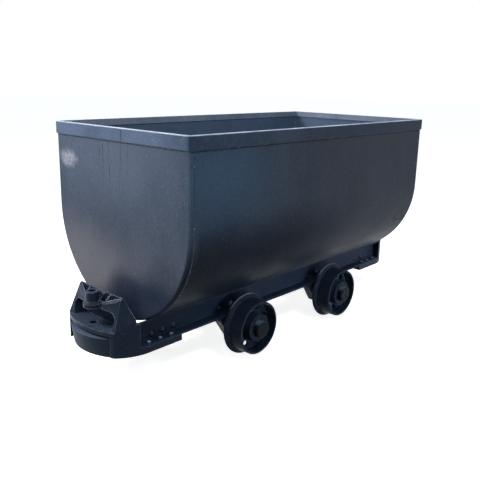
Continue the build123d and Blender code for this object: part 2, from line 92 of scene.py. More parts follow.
class PaintShop:
    """Node tree of one finish, with the few operations that the finishes share."""

    def __init__(self, name: str, specular: float, coat: float = 0.0) -> None:
        """Start a finish.

        Args:
            name: Name of the material.
            specular: Strength of the reflection of the paint.
            coat: Weight of the clear skin over the paint.
        """
        self.material = bpy.data.materials.new(name)
        self.material.use_nodes = True
        self.tree = self.material.node_tree
        self.shader = self.tree.nodes["Principled BSDF"]
        self.shader.inputs["Specular IOR Level"].default_value = specular
        self.shader.inputs["Coat Weight"].default_value = coat
        self.shader.inputs["Coat Roughness"].default_value = 0.12
        self.place = self.tree.nodes.new("ShaderNodeTexCoord").outputs["Object"]

    def _feed(self, socket: Socket, value: Socket | float | Sequence[float]) -> None:
        """Link a socket, or set it to a constant."""
        if isinstance(value, bpy.types.NodeSocket):
            self.tree.links.new(value, socket)
        elif isinstance(value, (int, float)):
            socket.default_value = value
        else:
            socket.default_value = (*value, 1.0) if len(value) < len(socket.default_value) else value

    def at(self, scale: Sequence[float], shift: Sequence[float] = (0, 0, 0)) -> Socket:
        """Give the place on the object, stretched and shifted.

        Args:
            scale: Factor along each axis.
            shift: Offset along each axis, after the factor.

        Returns:
            The vector that a pattern reads.
        """
        mapping = self.tree.nodes.new("ShaderNodeMapping")
        mapping.inputs["Scale"].default_value = scale
        mapping.inputs["Location"].default_value = shift
        self._feed(mapping.inputs["Vector"], self.place)
        return mapping.outputs["Vector"]

    def cloud(self, scale: Sequence[float], detail: float = 3.0, rough: float = 0.55,
              shift: Sequence[float] = (0, 0, 0)) -> Socket:
        """Make a soft noise.

        Args:
            scale: How many features fit in a metre along each axis.
            detail: Levels of finer noise.
            rough: Share of the finer levels.
            shift: Offset of the pattern.

        Returns:
            The noise, from 0 to 1.
        """
        node = self.tree.nodes.new("ShaderNodeTexNoise")
        node.inputs["Scale"].default_value = 1.0
        node.inputs["Detail"].default_value = detail
        node.inputs["Roughness"].default_value = rough
        self._feed(node.inputs["Vector"], self.at(scale, shift))
        return node.outputs["Fac"]

    def specks(self, per_metre: float, radius: float, share: float, shift: float = 0.0) -> Socket:
        """Make small round specks in some cells of a net.

        Args:
            per_metre: Cells along a metre.
            radius: Radius of a speck, as a share of its cell.
            share: Share of the cells that hold one.
            shift: Offset of the net.

        Returns:
            1 in a speck and 0 elsewhere.
        """
        node = self.tree.nodes.new("ShaderNodeTexVoronoi")
        node.inputs["Scale"].default_value = 1.0
        self._feed(node.inputs["Vector"], self.at((per_metre,) * 3, (shift,) * 3))
        split = self.tree.nodes.new("ShaderNodeSeparateColor")
        self._feed(split.inputs["Color"], node.outputs["Color"])
        size = self.math("MULTIPLY", split.outputs["Green"], radius)
        near = self.span(self.math("DIVIDE", node.outputs["Distance"], size), 1.15, 0.7)
        return self.math("MULTIPLY", near, self.math("LESS_THAN", split.outputs["Red"], share))

    def span(self, value: Socket, low: float, high: float, to_low: float = 0.0,
             to_high: float = 1.0) -> Socket:
        """Stretch a range of values.

        Args:
            value: The value to stretch.
            low: Where the range starts.
            high: Where the range ends.
            to_low: Result at the start.
            to_high: Result at the end.

        Returns:
            The stretched value, held within the two results.
        """
        node = self.tree.nodes.new("ShaderNodeMapRange")
        node.interpolation_type = "SMOOTHSTEP"
        for name, number in (("From Min", low), ("From Max", high), ("To Min", to_low), ("To Max", to_high)):
            node.inputs[name].default_value = number
        self._feed(node.inputs["Value"], value)
        return node.outputs["Result"]

    def math(self, operation: str, first: Socket | float, second: Socket | float = 0.0) -> Socket:
        """Combine two numbers.

        Args:
            operation: Name of the operation.
            first: First number.
            second: Second number.

        Returns:
            The result.
        """
        node = self.tree.nodes.new("ShaderNodeMath")
        node.operation = operation
        self._feed(node.inputs[0], first)
        self._feed(node.inputs[1], second)
        return node.outputs[0]

    def blend(self, share: Socket | float, under: Socket | Colour, over: Socket | Colour) -> Socket:
        """Lay one colour over another.

        Args:
            share: How much of the upper colour shows.
            under: Lower colour.
            over: Upper colour.

        Returns:
            The blended colour.
        """
        node = self.tree.nodes.new("ShaderNodeMix")
        node.data_type = "RGBA"
        self._feed(node.inputs["Factor"], share)
        self._feed(node.inputs[6], under)
        self._feed(node.inputs[7], over)
        return node.outputs[2]

    def axes(self) -> tuple[Socket, Socket, Socket]:
        """Give the place on the object as three numbers, in metres."""
        node = self.tree.nodes.new("ShaderNodeSeparateXYZ")
        self._feed(node.inputs[0], self.place)
        return node.outputs[0], node.outputs[1], node.outputs[2]

    def facing(self, axis: int) -> Socket:
        """Give how far the surface faces along one axis.

        Args:
            axis: 0, 1 or 2.

        Returns:
            A value from -1 to 1.
        """
        node = self.tree.nodes.new("ShaderNodeSeparateXYZ")
        self._feed(node.inputs[0], self.tree.nodes.new("ShaderNodeNewGeometry").outputs["Normal"])
        return node.outputs[axis]

    def edges(self, radius: float, low: float = 0.02, high: float = 0.22) -> Socket:
        """Find the sharp edges of the piece, where worn paint and a painted highlight go.

        Args:
            radius: How far from an edge the worn paint and painted highlight reach, in metres.
            low: Bend at which it starts.
            high: Bend at which it is full.

        Returns:
            1 on an edge and 0 on a face.
        """
        bevel = self.tree.nodes.new("ShaderNodeBevel")
        bevel.samples = 6
        bevel.inputs["Radius"].default_value = radius
        turn = self.tree.nodes.new("ShaderNodeVectorMath")
        turn.operation = "DOT_PRODUCT"
        self._feed(turn.inputs[0], bevel.outputs["Normal"])
        self._feed(turn.inputs[1], self.tree.nodes.new("ShaderNodeNewGeometry").outputs["Normal"])
        return self.span(self.math("SUBTRACT", 1.0, turn.outputs["Value"]), low, high)

    def patch(self, centre: Point, reach: Point, ragged: float, rough: float = 14.0,
              core: float = 0.6) -> Socket:
        """Make one soft mark at a place.

        Args:
            centre: Middle of the mark.
            reach: Half its size along each axis.
            ragged: How uneven its outline is.
            rough: Features of the outline in a metre.
            core: Share of its size inside which it is full.

        Returns:
            1 inside the mark and 0 outside.
        """
        scale = tuple(1 / r for r in reach)
        shift = tuple(-c / r for c, r in zip(centre, reach))
        length = self.tree.nodes.new("ShaderNodeVectorMath")
        length.operation = "LENGTH"
        self._feed(length.inputs[0], self.at(scale, shift))
        wobble = self.math("MULTIPLY", self.math("SUBTRACT", self.cloud((rough,) * 3, 4.0), 0.5), ragged)
        return self.span(self.math("ADD", length.outputs["Value"], wobble), 1.1, core)

    def finish(self, colour: Socket, roughness: Socket, height: Socket, depth: float) -> bpy.types.Material:
        """Join the last values to the shader.

        Args:
            colour: Colour of the surface.
            roughness: Roughness of the surface.
            height: Height of the grain, from 0 to 1.
            depth: Depth of the grain, in metres.

        Returns:
            The finished material.
        """
        bump = self.tree.nodes.new("ShaderNodeBump")
        bump.inputs["Distance"].default_value = depth
        bump.inputs["Strength"].default_value = 1.0
        self._feed(bump.inputs["Height"], height)
        self._feed(self.shader.inputs["Base Color"], colour)
        self._feed(self.shader.inputs["Roughness"], roughness)
        self._feed(self.shader.inputs["Normal"], bump.outputs["Normal"])
        return self.material


@dataclass(frozen=True)
class Enamel:
    """Dark enamel over steel: brushed plate, rolled section or casting.

    Attributes:
        name: Name of the material.
        coat: Main colour.
        faded: Colour where dust and weather have dulled it.
        grain: Surface under the paint.
        gloss: Roughness where the paint is clean.
        dull: Roughness where it is faded.
        specular: Strength of the reflection.
        streaks: How strong the upright runs are.
        edge: How much of the painted edge highlight, which also reads as worn paint, shows on sharp edges.
        edge_reach: How far from an edge it shows, in metres.
        edge_from: Height below which the painted edge highlight is weak.
        bright: Colour of the painted highlight on edges and of the painted glints.
        top_light_and_dust: How much pale colour lies on what faces up: dust, with painted top light.
        top_light_and_dust_from: How far a face has to look up before that pale colour lies on it.
        top_light_and_dust_colour: Colour of that dust and painted top light.
        glints: How strong the painted glints on it are.
    """

    name: str
    coat: Colour
    faded: Colour
    grain: Grain = Grain.ROLLED
    gloss: float = 0.34
    dull: float = 0.55
    specular: float = 0.35
    streaks: float = 0.0
    edge: float = 0.0
    edge_reach: float = 0.003
    edge_from: float = -1.0
    bright: Colour = paint(112, 126, 148)
    top_light_and_dust: float = 0.0
    top_light_and_dust_from: float = 0.45
    top_light_and_dust_colour: Colour = paint(78, 90, 108)
    glints: float = 0.0

    def extra(self, shop: PaintShop, colour: Socket, rough: Socket) -> tuple[Socket, Socket]:
        """Add marks of one part of the car; the plain enamel has none."""
        return colour, rough

    def material(self) -> bpy.types.Material:
        """Build the material.

        Returns:
            The finished material.
        """
        shop = PaintShop(self.name, self.specular)
        broad = shop.cloud((3.1, 3.1, 2.3), 4.0, 0.6)
        mottle = shop.cloud((46.0, 46.0, 46.0), 4.0, 0.65, (3, 1, 7))
        fine = shop.cloud((420.0, 420.0, 420.0), 2.0, 0.6)
        runs = shop.cloud((95.0, 95.0, 2.2), 3.0, 0.6, (5, 5, 2))
        fade = shop.math("MULTIPLY", shop.span(broad, 0.32, 0.72), 0.5)
        fade = shop.math("ADD", fade, shop.span(mottle, 0.4, 0.75, 0.0, 0.30))
        fade = shop.math("ADD", fade, shop.span(fine, 0.35, 0.7, 0.0, 0.16))
        if self.streaks:
            fade = shop.math("ADD", fade, shop.span(runs, 0.38, 0.72, 0.0, self.streaks))
        colour = shop.blend(shop.math("MINIMUM", fade, 1.0), self.coat, self.faded)
        rough = shop.span(fade, 0.0, 1.0, self.gloss, self.dull)
        if self.edge:
            # Painted highlight on sharp edges, which also reads as worn paint
            wear_and_highlight = shop.math("MULTIPLY", shop.edges(self.edge_reach), shop.span(mottle, 0.30, 0.62, 0.35, 1.0))
            rise = shop.span(shop.axes()[2], self.edge_from, self.edge_from + 0.1, 0.4, 1.0)
            wear_and_highlight = shop.math("MULTIPLY", wear_and_highlight, rise)
            colour = shop.blend(shop.math("MULTIPLY", wear_and_highlight, self.edge), colour, self.bright)
        if self.top_light_and_dust:
            # Pale colour on what faces up: dust, with painted top light
            level = shop.span(shop.facing(2), self.top_light_and_dust_from, 0.95)
            lying = shop.math("MULTIPLY", level, shop.span(broad, 0.25, 0.6, 0.6, 1.0))
            colour = shop.blend(shop.math("MULTIPLY", lying, self.top_light_and_dust), colour, self.top_light_and_dust_colour)
            if self.glints:
                # Painted glints on the faces that look up
                grains = shop.math("MULTIPLY", shop.specks(130.0, 0.42, 0.34, 5.1), lying)
                colour = shop.blend(shop.math("MULTIPLY", grains, self.glints), colour, self.bright)
        colour, rough = self.extra(shop, colour, rough)
        if self.grain is Grain.CAST:
            sand = shop.cloud((230.0, 230.0, 230.0), 3.0, 0.7, (2, 2, 2))
            lumps = shop.cloud((48.0, 48.0, 48.0), 3.0, 0.6)
            return shop.finish(colour, rough, shop.math("ADD", sand, shop.math("MULTIPLY", lumps, 1.6)), 0.0011)
        orange_peel = shop.cloud((150.0, 150.0, 150.0), 2.0, 0.5)
        waves = shop.cloud((5.0, 5.0, 5.0), 1.0, 0.4, (1, 4, 2))
        if self.grain is Grain.MOULDED:
            return shop.finish(colour, rough, orange_peel, 0.0003)
        return shop.finish(colour, rough, shop.math("ADD", orange_peel, shop.math("MULTIPLY", waves, 14.0)), 0.00022)


@dataclass(frozen=True)
class TubEnamel(Enamel):
    """Enamel of the tub, with the dust, runs and scrapes of its big plates, and painted light, shade and shadow on
    them.
    """

    # Pale dust colour, laid also as painted reflection and painted light
    dust: Colour = paint(128, 124, 126)
    chalk: Colour = paint(172, 176, 186)
    # Dark colour for real dirt, and also laid as painted shade
    grime_and_shade: Colour = paint(18, 26, 38)
    inner: Colour = paint(80, 94, 116)
    ore: Colour = paint(98, 94, 94)
    sheen: Colour = paint(110, 121, 141)
    painted_sky_reflection: Colour = paint(80, 104, 128)
    haze: Colour = paint(86, 81, 78)
    painted_shadow: Colour = paint(18, 31, 52)
    side_dust_and_light: float = 0.22
    side_grime_and_shade: float = 1.0
    axis_height: float = 0.817
    half_width: float = 0.519
    half_length: float = 1.019

    def lining(self, shop: PaintShop, x: Socket, radius: Socket) -> Socket:
        """Find the inside of the tub, which is painted paler than the outside as painted skylight.

        Args:
            shop: The finish that is being built.
            x: Place along the track.
            radius: Distance from the middle of the round bottom, or across the car above it.

        Returns:
            1 on the inside of the plates and 0 on the outside.
        """
        across = shop.math("LESS_THAN", radius, self.half_width - 0.003)
        along = shop.math("LESS_THAN", shop.math("ABSOLUTE", x), self.half_length - 0.003)
        return shop.math("MULTIPLY", across, along)

    def extra(self, shop: PaintShop, colour: Socket, rough: Socket) -> tuple[Socket, Socket]:
        """Add dust and painted reflection low down, painted sheen, shade and shadow, white and dark specks, runs under
        the rim and the pale scrape.

        Args:
            shop: The finish that is being built.
            colour: Colour so far.
            rough: Roughness so far.

        Returns:
            Colour and roughness with the marks.
        """
        x, y, z = shop.axes()
        front = shop.span(x, -1.0165, -1.0185)
        drop = shop.math("MINIMUM", shop.math("SUBTRACT", z, self.axis_height), 0.0)
        radius = shop.math("SQRT", shop.math("ADD", shop.math("MULTIPLY", y, y), shop.math("MULTIPLY", drop, drop)))
        within = self.lining(shop, x, radius)
        # Paler, bluer inside of the tub: painted skylight
        cloudy = shop.span(shop.cloud((3.5, 3.5, 1.6), 4.0, 0.6, (9, 2, 4)), 0.28, 0.68, 0.55, 1.0)
        colour = shop.blend(shop.math("MULTIPLY", within, cloudy), colour, self.inner)
        # The long sides turn paler and greyer towards the rear
        outside = shop.math("MULTIPLY", shop.span(shop.math("ABSOLUTE", y), 0.20, 0.30), shop.math("SUBTRACT", 1.0, within))
        grey = shop.math("MULTIPLY", shop.span(x, -0.9, 0.2, 0.0, 0.34), shop.math("SUBTRACT", 1.0, front))
        colour = shop.blend(shop.math("MULTIPLY", grey, outside), colour, self.haze)
        # Painted highlight on the edge all round the end plates high up, and painted shade on it low down
        end_edge = shop.math("MULTIPLY", shop.span(radius, 0.497, 0.511), shop.span(shop.math("ABSOLUTE", x), 1.009, 1.0155))
        colour = shop.blend(shop.math("MULTIPLY", end_edge, shop.span(z, 0.7, 1.0, 0.0, 0.2)), colour, self.sheen)
        colour = shop.blend(shop.math("MULTIPLY", end_edge, shop.span(z, 0.85, 0.55, 0.0, 0.7)), colour, self.grime_and_shade)
        # Pale dust film with a painted reflection of the ground on the lower half of the front plate, thicker to the
        # right of the car
        veil_and_reflection = shop.math("MULTIPLY", front, shop.span(z, 1.05, 0.5, 0.02, 0.13))
        colour = shop.blend(veil_and_reflection, colour, self.dust)
        film_and_reflection = shop.patch((-1.02, 0.32, 0.48), (0.6, 0.62, 0.36), 0.5, 3.5, 0.1)
        film_and_reflection = shop.math("MULTIPLY", film_and_reflection, shop.math("MULTIPLY", front, 0.46))
        colour = shop.blend(film_and_reflection, colour, self.dust)
        # Painted shadow behind the hood and painted shade down the left edge of the front plate
        for centre, reach, share in (((-1.02, -0.24, 0.40), (0.6, 0.38, 0.20), 0.72),
                                     ((-1.02, -0.05, 0.42), (0.6, 0.16, 0.17), 0.6),
                                     ((-1.02, -0.36, 0.53), (0.6, 0.20, 0.17), 0.34)):
            painted_shadow = shop.patch(centre, reach, 0.6, 4.0, 0.4)
            colour = shop.blend(shop.math("MULTIPLY", painted_shadow, shop.math("MULTIPLY", front, share)), colour, self.painted_shadow)
        # Pale dust with painted light low on the long sides towards the rear, and painted shade low down towards the
        # front
        low = shop.math("MULTIPLY", shop.span(z, 0.92, 0.62), outside)
        aft = shop.math("MULTIPLY", shop.span(x, 0.1, 0.65), low)
        fore = shop.math("MULTIPLY", shop.span(x, 0.45, -0.35), low)
        smear = shop.span(shop.cloud((2.2, 2.2, 5.0), 4.0, 0.6, (7, 1, 3)), 0.30, 0.66, 0.25, 1.0)
        colour = shop.blend(shop.math("MULTIPLY", shop.math("MULTIPLY", aft, smear), self.side_dust_and_light), colour, self.dust)
        turned = shop.math("MULTIPLY", shop.math("SUBTRACT", 1.0, front), shop.span(z, 0.90, 0.60))
        fore = shop.math("MULTIPLY", fore, shop.math("MAXIMUM", shop.span(x, -0.985, -0.955), turned))
        colour = shop.blend(shop.math("MULTIPLY", fore, self.side_grime_and_shade), colour, self.grime_and_shade)
        # Painted sheen high on the front plate, and painted sky reflection high on the sides beside it
        top_sheen = shop.patch((-1.02, 0.0, 1.12), (0.6, 0.72, 0.34), 0.7, 3.0, 0.3)
        colour = shop.blend(shop.math("MULTIPLY", shop.math("MULTIPLY", top_sheen, front), 0.34), colour, self.sheen)
        beside = shop.patch((-0.90, 0.0, 1.06), (0.56, 1.5, 0.30), 0.5, 2.0, 0.05)
        beside = shop.math("MULTIPLY", shop.math("MULTIPLY", beside, outside), shop.math("SUBTRACT", 1.0, front))
        colour = shop.blend(shop.math("MULTIPLY", beside, 0.76), colour, self.painted_sky_reflection)
        # Dark smears over the rear curve
        smudge = shop.patch((0.90, 0.0, 0.60), (0.17, 0.9, 0.09), 0.9, 9.0, 0.2)
        strokes = shop.span(shop.cloud((16.0, 40.0, 40.0), 5.0, 0.7, (6, 1, 2)), 0.46, 0.58)
        smudge = shop.math("MULTIPLY", shop.math("MULTIPLY", smudge, strokes), outside)
        colour = shop.blend(shop.math("MULTIPLY", smudge, 0.75), colour, self.grime_and_shade)
        # Pale streak along the top of the sill: dust, with a painted reflection
        ledge = shop.patch((0.28, 0.0, 0.45), (0.36, 0.9, 0.075), 0.8, 6.0, 0.2)
        ledge = shop.math("MULTIPLY", shop.math("MULTIPLY", ledge, outside), 0.34)
        colour = shop.blend(ledge, colour, self.dust)
        # Ore dust that stays on the floor of the tub
        inside = shop.math("MULTIPLY", shop.span(shop.facing(2), 0.25, 0.85), shop.span(z, 0.62, 0.36))
        heap = shop.span(shop.cloud((9.0, 9.0, 9.0), 9.0, 0.74, (3, 8, 1)), 0.30, 0.72)
        colour = shop.blend(shop.math("MULTIPLY", shop.math("MULTIPLY", inside, heap), 0.55), colour, self.ore)
        # Thin dark runs from the joint of the rim, with a pale thread beside each
        for shift, shade, share in ((3.3, self.grime_and_shade, 0.75), (3.52, self.chalk, 0.12)):
            lines = shop.span(shop.cloud((20.0, 74.0, 1.1), 2.0, 0.5, (0, shift, 0)), 0.56, 0.64)
            lines = shop.math("MULTIPLY", lines, shop.span(shop.cloud((50.0, 50.0, 22.0), 3.0), 0.40, 0.58, 0.2, 1.0))
            region = shop.patch((-1.02, 0.05, 1.14), (0.3, 0.20, 0.24), 0.6, 9.0, 0.3)
            run = shop.math("MULTIPLY", shop.math("MULTIPLY", lines, region), share)
            colour = shop.blend(shop.math("MULTIPLY", run, front), colour, shade)
        # Scrape that took the shine off beside the rim
        scrape = shop.patch((-1.02, 0.422, 1.062), (0.2, 0.088, 0.052), 1.1, 16.0, 0.35)
        combed = shop.span(shop.cloud((60.0, 60.0, 60.0), 4.0, 0.7, (2, 6, 1)), 0.34, 0.60, 0.35, 1.0)
        scrape = shop.math("MULTIPLY", shop.math("MULTIPLY", scrape, combed), shop.math("MULTIPLY", front, 0.66))
        colour = shop.blend(scrape, colour, self.chalk)
        # Specks of paint and dust
        high = shop.span(z, 0.55, 1.15, 0.25, 1.0)
        white = shop.math("MULTIPLY", shop.specks(95.0, 0.24, 0.17), high)
        colour = shop.blend(shop.math("MULTIPLY", white, 0.36), colour, self.chalk)
        large = shop.math("MULTIPLY", shop.specks(20.0, 0.10, 0.12, 1.9), high)
        colour = shop.blend(shop.math("MULTIPLY", large, 0.45), colour, self.chalk)
        for size, share, shade in ((80.0, 0.46, self.grime_and_shade), (150.0, 0.46, self.grime_and_shade), (170.0, 0.10, self.chalk)):
            grit = shop.specks(size, 0.36, 0.36, size / 20.0)
            colour = shop.blend(shop.math("MULTIPLY", grit, share), colour, shade)
        rough = shop.math("ADD", rough, shop.math("MULTIPLY", shop.math("ADD", film_and_reflection, scrape), 0.25))
        return colour, rough


@dataclass(frozen=True)
class BandEnamel(Enamel):
    """Enamel of the rim, with a painted highlight along its top that also reads as worn paint."""

    wear_and_highlight: Colour = paint(182, 190, 202)
    chalk: Colour = paint(180, 187, 198)
    sheen: Colour = paint(112, 128, 156)
    shade: Colour = paint(28, 40, 58)
    face: float = 1.023
    side: float = 0.5268

    def extra(self, shop: PaintShop, colour: Socket, rough: Socket) -> tuple[Socket, Socket]:
        """Add the painted sheen on the ends, the painted shade on the long sides, the painted highlight on the upper
        edge and the white specks.

        Args:
            shop: The finish that is being built.
            colour: Colour so far.
            rough: Roughness so far.

        Returns:
            Colour and roughness with the marks.
        """
        # Painted sheen on the ends
        x, y, _ = shop.axes()
        ends = shop.span(shop.math("ABSOLUTE", x), self.face - 0.001, self.face + 0.001)
        cloudy = shop.span(shop.cloud((3.0, 3.0, 3.0), 3.0, 0.6, (4, 4, 1)), 0.25, 0.7, 0.15, 0.5)
        colour = shop.blend(shop.math("MULTIPLY", ends, cloudy), colour, self.sheen)
        # Painted shade on the long sides, darker towards the rear
        sides = shop.span(shop.math("ABSOLUTE", y), self.side - 0.0008, self.side)
        sides = shop.math("MULTIPLY", sides, shop.span(x, -0.95, 0.3, 0.0, 0.6))
        colour = shop.blend(sides, colour, self.shade)
        # Painted highlight on what faces up, which also reads as worn paint
        up = shop.span(shop.facing(2), 0.35, 0.9)
        patchy = shop.span(shop.cloud((9.0, 9.0, 9.0), 4.0, 0.6), 0.30, 0.60, 0.45, 1.0)
        colour = shop.blend(shop.math("MULTIPLY", up, patchy), colour, self.wear_and_highlight)
        spots = shop.specks(110.0, 0.30, 0.34, 1.3)
        colour = shop.blend(shop.math("MULTIPLY", spots, 0.42), colour, self.chalk)
        large = shop.specks(22.0, 0.08, 0.10, 0.7)
        return shop.blend(shop.math("MULTIPLY", large, 0.5), colour, self.chalk), rough


@dataclass(frozen=True)
class WheelEnamel(Enamel):
    """Enamel of the wheels, thin on the tread where the rail rubs it."""

    tread: Colour = paint(36, 40, 50)
    crest: Colour = paint(150, 166, 190)
    recess: Colour = paint(52, 64, 82)
    axles: tuple[float, float] = (-0.395, 0.395)
    axle_height: float = 0.170

    def extra(self, shop: PaintShop, colour: Socket, rough: Socket) -> tuple[Socket, Socket]:
        """Add the rubbed, slightly rusty tread.

        Args:
            shop: The finish that is being built.
            colour: Colour so far.
            rough: Roughness so far.

        Returns:
            Colour and roughness with the tread.
        """
        x, y, z = shop.axes()
        along = shop.math("SUBTRACT", shop.math("ABSOLUTE", x), self.axles[1])
        up = shop.math("SUBTRACT", z, self.axle_height)
        radius = shop.math("SQRT", shop.math("ADD", shop.math("MULTIPLY", along, along),
                                            shop.math("MULTIPLY", up, up)))
        ring = shop.span(radius, 0.1425, 0.1445)
        patchy = shop.span(shop.cloud((16.0, 16.0, 16.0), 4.0, 0.6, (4, 0, 1)), 0.36, 0.66)
        share = shop.math("MULTIPLY", ring, shop.math("MULTIPLY", patchy, 0.5))
        colour = shop.blend(share, colour, self.tread)
        # Pale dust and painted light in the recess round the hub, stronger on the rear wheels
        deep = shop.math("MULTIPLY", shop.span(radius, 0.1345, 0.1325), shop.span(radius, 0.0745, 0.0775))
        deep = shop.math("MULTIPLY", deep, shop.span(shop.math("ABSOLUTE", y), 0.385, 0.350))
        deep = shop.math("MULTIPLY", deep, shop.math("ADD", shop.math("MULTIPLY", patchy, 0.2), 0.16))
        deep = shop.math("MULTIPLY", deep, shop.span(x, -0.1, 0.1, 1.0, 2.6))
        colour = shop.blend(deep, colour, self.recess)
        # Painted highlight on the crest of the flange where it faces up
        top = shop.math("MULTIPLY", shop.span(radius, 0.1585, 0.1675), shop.span(shop.facing(2), 0.55, 1.0))
        return shop.blend(shop.math("MULTIPLY", top, 0.7), colour, self.crest), rough


@dataclass(frozen=True)
class SeamEnamel(Enamel):
    """Paint over a weld, with bright specks of splashes and painted glints, and a thread of rust."""

    rust: Colour = paint(78, 62, 60)
    spatter_and_glint: Colour = paint(186, 194, 206)

    def extra(self, shop: PaintShop, colour: Socket, rough: Socket) -> tuple[Socket, Socket]:
        """Add rust in stretches, and bright specks of splashes and painted glints on the bead.

        Args:
            shop: The finish that is being built.
            colour: Colour so far.
            rough: Roughness so far.

        Returns:
            Colour and roughness with the marks.
        """
        stretch = shop.span(shop.cloud((4.0, 4.0, 4.0), 3.0, 0.6), 0.55, 0.75, 0.0, 0.2)
        colour = shop.blend(stretch, colour, self.rust)
        # Bright specks: splashes, and painted glints on the bead
        beads = shop.specks(92.0, 0.62, 0.30, 2.0)
        return shop.blend(shop.math("MULTIPLY", beads, 0.6), colour, self.spatter_and_glint), rough


@dataclass(frozen=True)
class Finishes:
    """The finishes of the car, each built once."""

    tub: bpy.types.Material
    rim: bpy.types.Material
    liner: bpy.types.Material
    frame: bpy.types.Material
    casting: bpy.types.Material
    wheel: bpy.types.Material
    cap: bpy.types.Material
    axle: bpy.types.Material
    rubber: bpy.types.Material
    seam: bpy.types.Material
    weld: bpy.types.Material
    rivet: bpy.types.Material

    @classmethod
    def mixed(cls) -> "Finishes":
        """Build every finish.

        Returns:
            The finishes.
        """
        # Finishes with an edge share get a painted highlight on sharp edges; those with a share of pale top colour get
        # painted top light with dust
        return cls(
            tub=TubEnamel("tub_enamel", paint(52, 63, 79), paint(79, 89, 105), gloss=0.34, dull=0.56,
                          specular=0.02, streaks=0.07).material(),
            rim=BandEnamel("rim_enamel", paint(48, 61, 79), paint(76, 88, 107), gloss=0.30, dull=0.5,
                           specular=0.06, streaks=0.05, edge=0.6, edge_reach=0.002).material(),
            liner=BandEnamel("liner_enamel", paint(92, 103, 120), paint(128, 137, 152), gloss=0.34, dull=0.54,
                             specular=0.06, streaks=0.1, edge=0.5, edge_reach=0.002).material(),
            frame=Enamel("frame_enamel", paint(30, 41, 57), paint(43, 54, 71), gloss=0.28, dull=0.5,
                         specular=0.03, streaks=0.08, edge=0.5, edge_reach=0.004).material(),
            casting=Enamel("casting_enamel", paint(25, 34, 47), paint(39, 49, 64), grain=Grain.CAST,
                           gloss=0.22, dull=0.44, specular=0.04, edge=1.0, edge_reach=0.0032, edge_from=0.28,
                           bright=paint(176, 190, 212), top_light_and_dust=0.2, glints=0.2).material(),
            wheel=WheelEnamel("wheel_enamel", paint(17, 25, 38), paint(27, 36, 50), grain=Grain.CAST,
                              gloss=0.22, dull=0.42, specular=0.02, edge=0.9, edge_reach=0.0028,
                              bright=paint(124, 138, 158)).material(),
            cap=Enamel("cap_enamel", paint(9, 14, 22), paint(17, 23, 33), grain=Grain.MOULDED,
                       gloss=0.16, dull=0.34, specular=0.035, edge=1.0, edge_reach=0.004,
                       top_light_and_dust=0.4, top_light_and_dust_from=0.5, top_light_and_dust_colour=paint(120, 134, 156)).material(),
            axle=Enamel("axle_enamel", paint(20, 25, 33), paint(42, 46, 54), gloss=0.4, dull=0.6,
                        specular=0.05).material(),
            rubber=Enamel("buffer_rubber", paint(25, 34, 47), paint(42, 52, 66), grain=Grain.MOULDED,
                          gloss=0.42, dull=0.62, specular=0.05, top_light_and_dust=0.5,
                          top_light_and_dust_colour=paint(84, 98, 118)).material(),
            seam=SeamEnamel("seam_enamel", paint(56, 68, 86), paint(74, 86, 103), gloss=0.22, dull=0.4,
                            specular=0.06).material(),
            # The weld under the bands is painted paler than it is, as painted light against the shadow under the band
            weld=SeamEnamel("weld_enamel", paint(96, 105, 120), paint(122, 126, 136), gloss=0.3, dull=0.5,
                            specular=0.05, rust=paint(146, 120, 110)).material(),
            # Rivet crowns get painted highlights from the pale top colour
            rivet=Enamel("rivet_enamel", paint(20, 28, 42), paint(32, 42, 58), grain=Grain.MOULDED,
                         gloss=0.10, dull=0.22, specular=0.16, top_light_and_dust=0.9, top_light_and_dust_from=0.62,
                         top_light_and_dust_colour=paint(160, 174, 196)).material(),
        )


# Shapes


class MeshMaker:
    """Collects rings of points and turns them into one smooth mesh."""

    def __init__(self, name: str) -> None:
        """Start an empty mesh.

        Args:
            name: Name of the piece.
        """
        self.name = name
        self.mesh = bmesh.new()

    def rings(self, rings: Sequence[Sequence[Vector]], closed: bool = True, capped: bool = True) -> None:
        """Join rings of equally many points by quads.

        Args:
            rings: The rings, in order.
            closed: Whether a ring's last point joins its first.
            capped: Whether the first and last rings are closed by a face.
        """
        rows = [[self.mesh.verts.new(point) for point in ring] for ring in rings]
        count = len(rows[0])
        for lower, upper in zip(rows, rows[1:]):
            for i in range(count if closed else count - 1):
                j = (i + 1) % count
                self.mesh.faces.new((lower[i], lower[j], upper[j], upper[i]))
        if capped:
            self.mesh.faces.new(list(reversed(rows[0])))
            self.mesh.faces.new(rows[-1])

    def turned(self, profile: Sequence[tuple[float, float]], base: Point, axis: Point, steps: int) -> None:
        """Turn a profile about an axis.

        Args:
            profile: Radius and height pairs, from the foot up.
            base: Foot of the axis.
            axis: Direction of the axis.
            steps: Points round a ring.
        """
        turn = Vector((0, 0, 1)).rotation_difference(Vector(axis)).to_matrix().to_4x4()
        place = Matrix.Translation(base) @ turn
        self.rings([
            [place @ Vector((r * math.cos(a), r * math.sin(a), h))
             for a in (2 * math.pi * i / steps for i in range(steps))]
            for r, h in profile
        ])

    def piece(self, finish: bpy.types.Material, body: str = "chassis", slot: str = "") -> bpy.types.Object:
        """Turn what was collected into an object of the car.

        Args:
            finish: Material of the piece.
            body: Body that the piece rides on.
            slot: Not used.

        Returns:
            The new object.
        """
        bmesh.ops.recalc_face_normals(self.mesh, faces=self.mesh.faces)
        data = bpy.data.meshes.new(self.name)
        self.mesh.to_mesh(data)
        self.mesh.free()
        data.shade_smooth()
        data.materials.append(finish)
        thing = bpy.data.objects.new(self.name, data)
        bpy.context.scene.collection.objects.link(thing)
        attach(thing, body)
        return thing


def dress(nodes: Iterable[str], finish: bpy.types.Material) -> None:
    """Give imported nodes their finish.

    Args:
        nodes: Names of the nodes.
        finish: Material to assign.
    """
    for name in nodes:
        slots = frame["nodes"][name].data.materials
        slots.clear()
        slots.append(finish)
        log.info("dressed %s", name)


